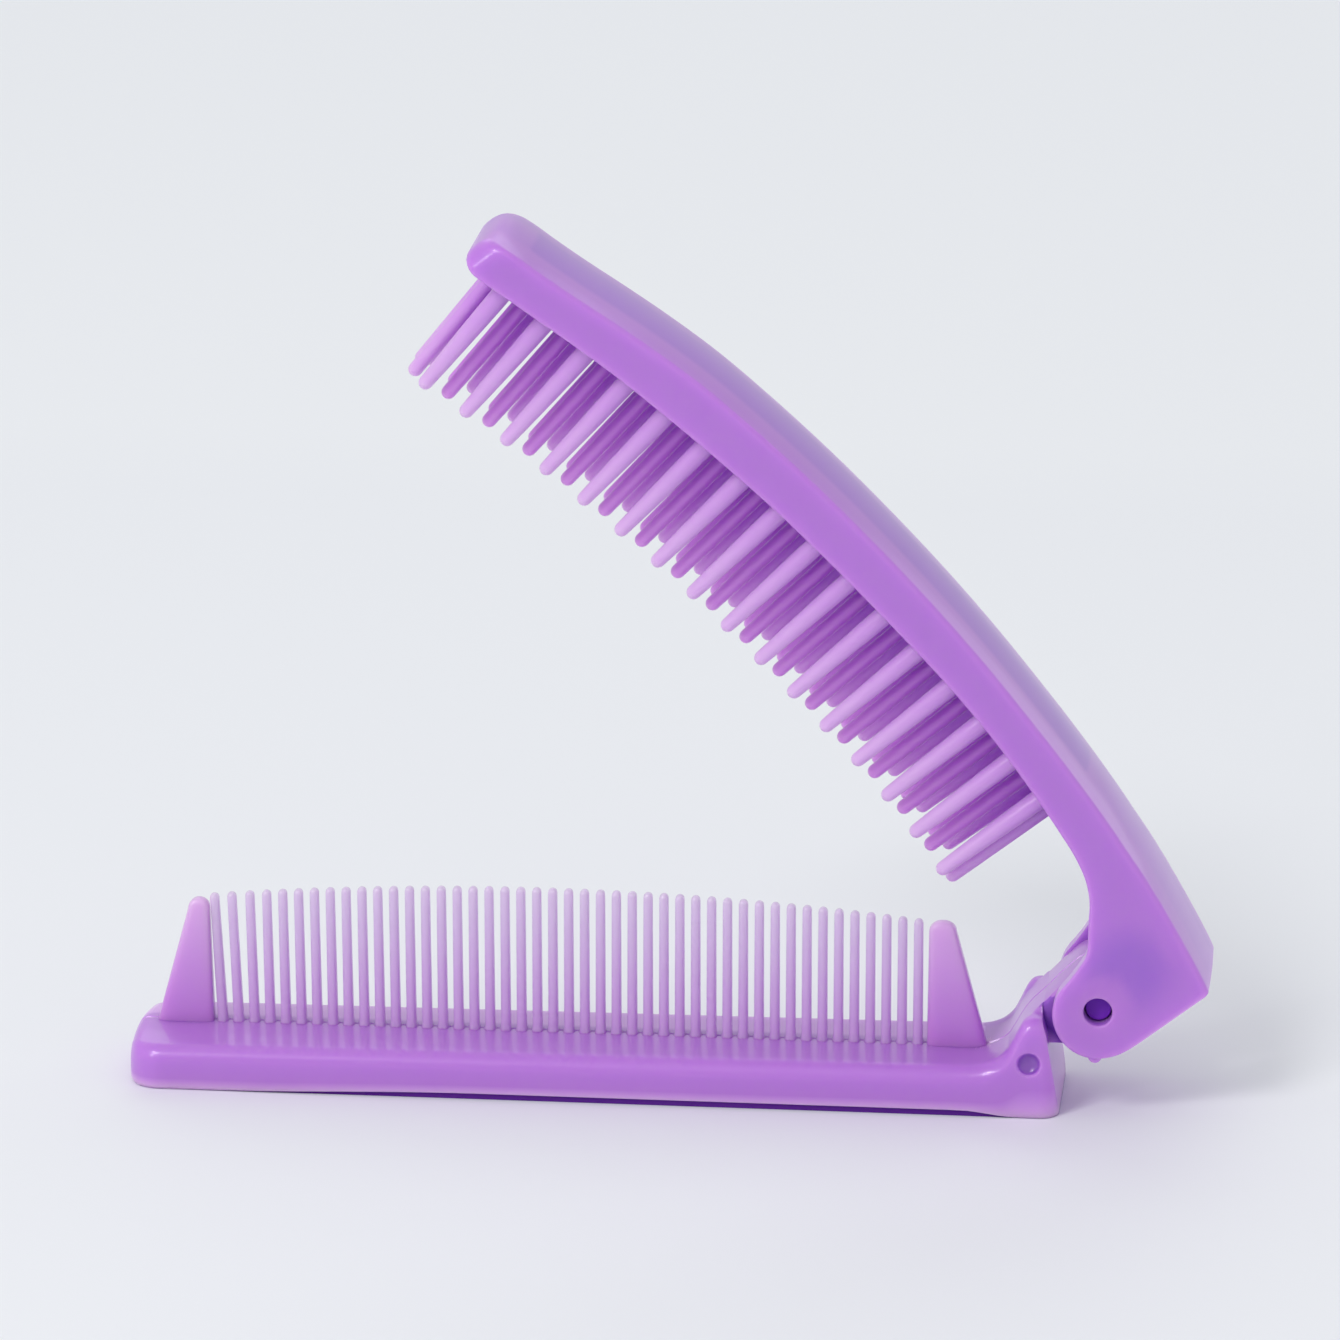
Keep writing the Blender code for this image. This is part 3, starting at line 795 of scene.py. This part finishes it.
def build_comb_half():
    """Bar, hinge recess, tongue, dimples, bore and teeth, joined into one mesh."""
    comb = build_spine()
    low, high, right = -1.0 * MM, 19.0 * MM, 5.0 * MM
    foot = COMB_FACE + FACE_FOOT
    head = foot - FACE_DRAFT * (high - low)
    past_face = [(foot, low), (head, high), (right, high), (right, low)]
    boolean(comb, prism("past_face", past_face, COMB_WIDTH), "DIFFERENCE")
    inner = TONGUE_WIDTH / 2 - RECESS_BITE
    outer = COMB_WIDTH / 2 + OVERCUT
    for side in (-1, 1):
        recess = disc(CLEARANCE_RADIUS, TURNED_SIDES, (0.0, PIVOT_HEIGHT))
        middle = side * (inner + outer) / 2
        boolean(comb, prism("recess", recess, (outer - inner) / 2, centre=middle), "DIFFERENCE")
        lip = lip_profile(CLEARANCE_RADIUS, EAR_LIP, COMB_WIDTH / 2)
        boolean(comb, turned("lip", lip, (0.0, PIVOT_HEIGHT), side), "DIFFERENCE")
    tongue = prism("tongue", tongue_outline(), TONGUE_WIDTH / 2, TONGUE_FILLET, SEAM_DEPTH)
    boolean(comb, tongue, "UNION")
    for side in (-1, 1):
        dimple = turned("dimple", dimple_profile(), (DIMPLE_X, DIMPLE_Z), side)
        boolean(comb, dimple, "DIFFERENCE")
    bore = disc(PIN_RADIUS + HINGE_GAP, HOLE_SIDES, (0.0, PIVOT_HEIGHT))
    boolean(comb, prism("bore", bore, COMB_WIDTH), "DIFFERENCE")
    boolean(comb, build_teeth(), "UNION")
    guards = [guard(*edges) for edges in scaled(GUARD_LINES)]
    boolean(comb, join("guards", guards), "UNION")
    finish_mesh(comb)
    mark(comb, comb_reach, comb_shade, comb_shade_depth)
    comb.data.transform(Matrix.Translation((PIVOT.x, 0, 0)))
    return comb


# Brush half


def brush_section(x, back, rim):
    """One ring across the brush body: rim edges, side faces and a domed back."""
    to_tip = BRUSH_TIP - x
    half = BRUSH_WIDTH / 2
    from_face = min(1.0, (x - BRUSH[0][0]) / CROWN_RUN)
    crown = END_CROWN + (BACK_CROWN - END_CROWN) * from_face
    if to_tip < TIP_ROUND:
        part = 1 - to_tip / TIP_ROUND
        half -= TIP_ROUND * (1 - math.sqrt(1 - part**2))
        crown *= 1 - TIP_CROWN_LOSS * part**4
    height = rim - back
    rounding = TIP_FILLET * ease(1 - to_tip / TIP_ROUND)
    fillet = min(BACK_FILLET + rounding, height * 0.5, half * 0.8)
    edge = min(RIM_FILLET + TIP_RIM_FILLET * rounding, height * 0.35, half * 0.6)
    side = [(0.0, rim), (max(half - 3 * edge, 0.2 * half), rim)]
    side += [(y, 2 * rim - z) for y, z in corner_arc(half - edge, rim + edge, edge, -90, 0, 5)]
    low, high = rim - edge, back + fillet
    side += [(half, low + part / 12 * (high - low)) for part in range(1, 12)]
    shoulder = half - fillet
    side += corner_arc(shoulder, back + fillet, fillet, 0, -90, 7)
    for part in (0.88, 0.75, 0.6, 0.45, 0.3, 0.15, 0.0):
        side.append((shoulder * part, back - crown * (1 - part**2)))
    mirrored = [(-y, z) for y, z in reversed(side[1:-1])]
    return [(x, y, z) for y, z in side + mirrored]


def roof_height(x):
    """Height of the trough's roof, on the bristle side of the back."""
    return at(BRUSH, x, BACK) + BACK_THICKNESS - BACK_CROWN


def trough_outline():
    """Side view of the hollow: the tongue's slot at the hinge, then the trough for the bristles."""
    start, end = -2 * LOBE_RADIUS, TROUGH_END
    points = [(start, OUTSIDE), (start, -SLOT_ROOF), (SLOT_ROOF_END, -SLOT_ROOF)]
    inside = [row[0] for row in BRUSH if TROUGH_START < row[0] < end - TROUGH_LAST_ROW]
    points += [(x, roof_height(x)) for x in inside]
    return points + [(end, roof_height(end)), (end, OUTSIDE)]


def bristle(x_rim, y, z_rim, lean, radius):
    """A round bristle from inside the roof to its rounded tip."""
    along = Vector((-math.sin(lean), 0, math.cos(lean)))
    across = Vector((math.cos(lean), 0, math.sin(lean)))
    rim = Vector((x_rim, y, z_rim))
    depth = z_rim - roof_height(x_rim)
    rows = [
        (-depth - BRISTLE_ROOT, radius + BRISTLE_FLARE),
        (-depth, radius + BRISTLE_FLARE),
        (-depth + BRISTLE_FLARE_RUN, radius),
        (0.0, radius * 0.995),
    ]
    top = BRISTLE_LENGTH - BRISTLE_TIP_RADIUS
    for part in (0.25, 0.5, 0.75, 1.0):
        rows.append((top * part, radius + (BRISTLE_TIP_RADIUS - radius) * part**BRISTLE_TAPER))
    for degrees in (20, 40, 58, 74, 86):
        angle = math.radians(degrees)
        reach = top + BRISTLE_TIP_RADIUS * math.sin(angle)
        rows.append((reach, BRISTLE_TIP_RADIUS * math.cos(angle)))
    rings = []
    for reach, size in rows:
        centre = rim + along * reach
        rings.append([
            centre + across * size * math.cos(angle) + Vector((0, size * math.sin(angle), 0))
            for angle in (math.tau * (i + 0.5) / BRISTLE_SIDES for i in range(BRISTLE_SIDES))
        ])
    return loft("bristle", rings)


def build_bristles():
    """Two outer rows that stand in line, and two inner rows half a step on with one more each."""
    pitch = (LAST_BRISTLE - FIRST_BRISTLE) / (BRISTLE_COUNT - 1)
    span = LAST_BRISTLE - FIRST_BRISTLE
    outer = list(range(BRISTLE_COUNT))
    inner = [i + INNER_SHIFT for i in range(BRISTLE_COUNT - 1)]
    inner = [-END_SHIFT] + inner + [BRISTLE_COUNT - 1 + END_SHIFT]
    rows = [(-OUTER_ROW, outer), (-INNER_ROW, inner), (INNER_ROW, inner), (OUTER_ROW, outer)]
    bristles = []
    for y, places in rows:
        for place in places:
            x = FIRST_BRISTLE + pitch * place
            part = max(0.0, (x - FIRST_BRISTLE) / span)
            lean = LEAN_NEAR_HINGE + (LEAN_NEAR_TIP - LEAN_NEAR_HINGE) * part
            radius = BRISTLE_RADIUS + (OUTER_EXTRA if abs(y) == OUTER_ROW else 0.0)
            if y == OUTER_ROW:
                x += FAR_ROW_SHIFT * part**1.5
            bristles.append(bristle(x, y, at(BRUSH, x, RIM), lean, radius))
    return join("bristles", bristles)


def among_bristles(place):
    """Whether a point lies across the brush where the bristles stand."""
    return abs(place.y) <= OUTER_ROW + BRISTLE_RADIUS + BRISTLE_MARGIN


def brush_reach(place):
    """How far along a bristle a point is, or None off the bristles."""
    if not BRISTLES_START < place.x < BRISTLES_END or not among_bristles(place):
        return None
    rim = at(BRUSH, place.x, RIM)
    over_trough = place.x < TROUGH_END - 0.1 * MM
    in_trough = over_trough and place.z > roof_height(place.x) + 0.5 * MM
    if not in_trough and place.z < rim + 0.05 * MM:
        return None
    return (place.z - rim) / BRISTLE_LENGTH


def brush_shade(place):
    """The second mark: 1 on the near outer bristles, painted light, and where solid plastic lies
    behind a side face; less elsewhere, down to 0, painted shade, on the inner bristles and over
    hollows.
    """
    rim = at(BRUSH, place.x, RIM)
    if among_bristles(place):
        if abs(place.y) > (OUTER_ROW + INNER_ROW) / 2:
            return FAR_ROW_SHADE if place.y > 0 else 1.0
        lean = LEAN_NEAR_HINGE if place.x < 60 * MM else LEAN_NEAR_TIP
        root = place.x + math.tan(lean) * (place.z - rim)
        in_row = FIRST_BRISTLE - 0.9 * MM < root < LAST_BRISTLE + 0.9 * MM
        return 0.0 if in_row else END_BRISTLE_SHADE
    if place.x > SIDE_FACE_START:
        return 1.0
    return max(
        ease((BACK_EDGE - place.z) / BACK_RUN),
        ease((LOBE_EDGE - math.hypot(place.x, place.z)) / LOBE_RUN),
        ease(1 - (rim - place.z) / RIM_RUN),
        ease((math.hypot(place.x - SHADE_SPOT_X, place.z - SHADE_SPOT_Z) - SHADE_SPOT_EDGE) / SHADE_SPOT_RUN),
    )


def no_shade_depth(place):
    return 0.0


def build_brush_half():
    """Body, trough, cheek holes, nubs and bristles, joined into one mesh."""
    brush = loft("brush", [brush_section(*row) for row in BRUSH])
    half_slot = TONGUE_WIDTH / 2 + HINGE_GAP
    boolean(brush, prism("trough", trough_outline(), half_slot), "DIFFERENCE")
    boolean(brush, prism("pin_hole", disc(HOLE_RADIUS, HOLE_SIDES), BRUSH_WIDTH), "DIFFERENCE")
    for side in (-1, 1):
        lip = lip_profile(HOLE_RADIUS, HOLE_LIP, BRUSH_WIDTH / 2)
        boolean(brush, turned("lip", lip, (0.0, 0.0), side), "DIFFERENCE")
    reach = NUB_REACH - NUB_RADIUS
    spot = (reach * math.cos(NUB_ANGLE), reach * math.sin(NUB_ANGLE))
    middle = (half_slot + BRUSH_WIDTH / 2) / 2
    for side in (-1, 1):
        outline = disc(NUB_RADIUS, NUB_SIDES, spot)
        nub = prism("nub", outline, NUB_WIDTH / 2, NUB_FILLET, centre=side * middle)
        boolean(brush, nub, "UNION")
    boolean(brush, build_bristles(), "UNION")
    finish_mesh(brush)
    mark(brush, brush_reach, brush_shade, no_shade_depth)
    brush.data.transform(Matrix.Translation(PIVOT) @ Matrix.Rotation(-OPEN_AT_REST, 4, "Y"))
    return brush


def build_pin():
    outline = disc(PIN_RADIUS + PIN_SWELL, HOLE_SIDES)
    pin = prism("pin", outline, PIN_LENGTH / 2, PIN_FILLET)
    finish_mesh(pin)
    pin.data.transform(Matrix.Translation(PIVOT))
    return pin


# Materials


def new_material(name):
    """A material with its node tree, its shader and its object coordinates."""
    material = bpy.data.materials.new(name)
    material.use_nodes = True
    tree = material.node_tree
    place = tree.nodes.new("ShaderNodeTexCoord").outputs["Object"]
    return material, tree, tree.nodes["Principled BSDF"], place


def split_axes(tree, vector):
    split = tree.nodes.new("ShaderNodeSeparateXYZ")
    tree.links.new(vector, split.inputs["Vector"])
    return split.outputs["X"], split.outputs["Y"]


def add_noise(tree, place, scale, detail):
    noise = tree.nodes.new("ShaderNodeTexNoise")
    noise.inputs["Scale"].default_value = scale
    noise.inputs["Detail"].default_value = detail
    tree.links.new(place, noise.inputs["Vector"])
    return noise.outputs["Fac"]


def add_range(tree, value, source, result):
    """A number that runs over result while value runs over source."""
    node = tree.nodes.new("ShaderNodeMapRange")
    node.inputs["From Min"].default_value, node.inputs["From Max"].default_value = source
    node.inputs["To Min"].default_value, node.inputs["To Max"].default_value = result
    tree.links.new(value, node.inputs["Value"])
    return node.outputs["Result"]


def add_blend(tree, factor, low, high, low_at=0.0, high_at=1.0, curve="EASE"):
    """Colour that runs from low to high as the factor rises."""
    ramp = tree.nodes.new("ShaderNodeValToRGB")
    ramp.color_ramp.interpolation = curve
    stops = zip(ramp.color_ramp.elements, (low_at, high_at), (low, high))
    for element, position, colour in stops:
        element.position = position
        element.color = (*colour, 1.0)
    tree.links.new(factor, ramp.inputs["Fac"])
    return ramp.outputs["Color"]


def add_mix(tree, first, second, kind, factor=None):
    """Mix two colours. The node's colour sockets share their names, so they go by number."""
    mix = tree.nodes.new("ShaderNodeMix")
    mix.data_type = "RGBA"
    mix.blend_type = kind
    mix.inputs["Factor"].default_value = 1.0
    if factor is not None:
        tree.links.new(factor, mix.inputs["Factor"])
    tree.links.new(first, mix.inputs[6])
    tree.links.new(second, mix.inputs[7])
    return mix.outputs[2]


def add_bump(tree, height, strength, distance):
    bump = tree.nodes.new("ShaderNodeBump")
    bump.inputs["Strength"].default_value = strength
    bump.inputs["Distance"].default_value = distance
    tree.links.new(height, bump.inputs["Height"])
    return bump.outputs["Normal"]


def plastic(name, low, high, glow, see_through=0.0, coat=COAT):
    """Glossy milky plastic.

    low and high are each a pair of colours, mostly painted light and shade, over the mesh's first
    mark: low where its second mark is 0 and high where it is 1. glow is how far light spreads
    inside. The colour is faintly cloudy, and the skin has slow ripples and uneven gloss.
    """
    material, tree, shader, place = new_material(name)
    marks = tree.nodes.new("ShaderNodeUVMap")
    marks.uv_map = "plastic_map"
    reach, shade = split_axes(tree, marks.outputs["UV"])

    low_colour = add_blend(tree, reach, *low)
    high_colour = add_blend(tree, reach, *high)
    # The colour with its painted light and shade, picked by the marks
    painted_tone = add_mix(tree, low_colour, high_colour, "MIX", shade)
    cloud = add_blend(tree, add_noise(tree, place, CLOUD_SCALE, 1.0), *CLOUD, 0.1, 0.9)
    colour = add_mix(tree, painted_tone, cloud, "MULTIPLY")
    tree.links.new(colour, shader.inputs["Base Color"])

    gloss = add_range(tree, add_noise(tree, place, RIPPLE_SCALE, 0.0), (0.0, 1.0), ROUGHNESS)
    tree.links.new(gloss, shader.inputs["Roughness"])
    ripple = add_bump(tree, add_noise(tree, place, RIPPLE_SCALE, 1.0), 0.3, RIPPLE_HEIGHT)
    tree.links.new(ripple, shader.inputs["Normal"])
    tree.links.new(ripple, shader.inputs["Coat Normal"])

    shader.inputs["Subsurface Weight"].default_value = 1.0
    shader.inputs["Subsurface Radius"].default_value = (1.0, 0.8, 1.0)
    shader.inputs["Subsurface Scale"].default_value = glow
    shader.inputs["Transmission Weight"].default_value = see_through
    shader.inputs["IOR"].default_value = 1.46 if coat else 1.2
    shader.inputs["Coat Weight"].default_value = coat
    shader.inputs["Coat Roughness"].default_value = 0.07
    return material


def table_top():
    """Pale satin table, painted a little lighter far behind the object, as painted light."""
    material, tree, shader, place = new_material("table_top")
    across = split_axes(tree, place)[1]
    far = add_range(tree, across, FAR_LIGHT_FADE, (0.0, 1.0))
    tone = add_blend(tree, far, *TABLE_TONE_AND_FAR_LIGHT, curve="LINEAR")
    tree.links.new(tone, shader.inputs["Base Color"])
    grain = add_noise(tree, place, TABLE_GRAIN_SCALE, 2.0)
    bump = add_bump(tree, grain, 0.03, TABLE_GRAIN_HEIGHT)
    tree.links.new(bump, shader.inputs["Normal"])
    shader.inputs["Roughness"].default_value = 0.6
    return material


# Stage


def add_table():
    mesh = bpy.data.meshes.new("table")
    size = TABLE_SIZE
    corners = [(-size, -size, 0), (size, -size, 0), (size, size, 0), (-size, size, 0)]
    mesh.from_pydata(corners, [], [(0, 1, 2, 3)])
    table = bpy.data.objects.new("table", mesh)
    bpy.context.collection.objects.link(table)
    mesh.materials.append(table_top())


def add_camera():
    azimuth, elevation = CAMERA_AZIMUTH, CAMERA_ELEVATION
    back = Vector((
        math.sin(azimuth) * math.cos(elevation),
        -math.cos(azimuth) * math.cos(elevation),
        math.sin(elevation),
    ))
    right = Vector((math.cos(azimuth), math.sin(azimuth), 0))
    up = back.cross(right)
    data = bpy.data.cameras.new("camera")
    data.sensor_width = 36
    data.lens = CAMERA_LENS
    data.clip_start = 0.01
    camera = bpy.data.objects.new("camera", data)
    place = Vector(CAMERA_TARGET) + back * CAMERA_DISTANCE
    camera.matrix_world = Matrix([
        (right.x, up.x, back.x, place.x),
        (right.y, up.y, back.y, place.y),
        (right.z, up.z, back.z, place.z),
        (0, 0, 0, 1),
    ])
    bpy.context.collection.objects.link(camera)
    bpy.context.scene.camera = camera


def add_area_light(name, place, target, size, power, colour):
    data = bpy.data.lights.new(name, "AREA")
    data.shape = "RECTANGLE"
    data.size, data.size_y = size
    data.energy = power
    data.color = colour
    light = bpy.data.objects.new(name, data)
    light.location = place
    direction = Vector(target) - Vector(place)
    light.rotation_euler = direction.to_track_quat("-Z", "Y").to_euler()
    bpy.context.collection.objects.link(light)


def add_world():
    world = bpy.data.worlds.new("studio")
    world.use_nodes = True
    sky = world.node_tree.nodes["Background"]
    sky.inputs["Color"].default_value = (*SKY, 1.0)
    sky.inputs["Strength"].default_value = SKY_STRENGTH
    bpy.context.scene.world = world


def dress(piece, node, carrier, materials):
    """Give a piece its materials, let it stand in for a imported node, and ride its body."""
    for material in materials:
        piece.data.materials.append(material)
    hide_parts(node)
    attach(piece, carrier)


def main():
    bpy.context.scene.view_settings.view_transform = "Standard"
    # The comb: a paler far side as painted light, painted shade in the recess, dimples and rebate,
    # and teeth with paler tips as painted light
    comb = [
        plastic("comb_body", (BODY, DEEP_SHADE), (FAR_BAND_LIGHT, DEEP_SHADE), BODY_GLOW),
        plastic("comb_teeth", GUARD_LIT_TIPS, TOOTH_LIT_TIPS, THIN_GLOW, see_through=0.15),
        # Painted shade in the hinge recess and the rebate, with no coat so it does not shine
        plastic("comb_painted_shade", SUNK_SHADE, (REBATE_SHADE, REBATE_SHADE), SUNK_GLOW, coat=0.0),
    ]
    # The brush: body painted darker over hollows, inner bristles in painted shade, outer ones in
    # painted light
    brush = [
        plastic("brush_body", (HOLLOW_SHADE, HOLLOW_SHADE), (BODY, BODY), BODY_GLOW),
        plastic("bristles", INNER_BRISTLE_SHADE, OUTER_BRISTLE_LIGHT, THIN_GLOW, see_through=0.1),
    ]
    # The pin, painted dark violet as the shade inside the hinge holes
    pin = [plastic("pin_painted_shade", (PIN_SHADE, PIN_SHADE), (PIN_SHADE, PIN_SHADE), SUNK_GLOW, coat=0.0)]
    dress(build_comb_half(), "comb_half", "comb", comb)
    dress(build_brush_half(), "brush_half", "brush", brush)
    dress(build_pin(), "hinge_pin", "comb", pin)
    add_table()
    add_world()
    for light in LIGHTS:
        add_area_light(*light)
    add_camera()


main()
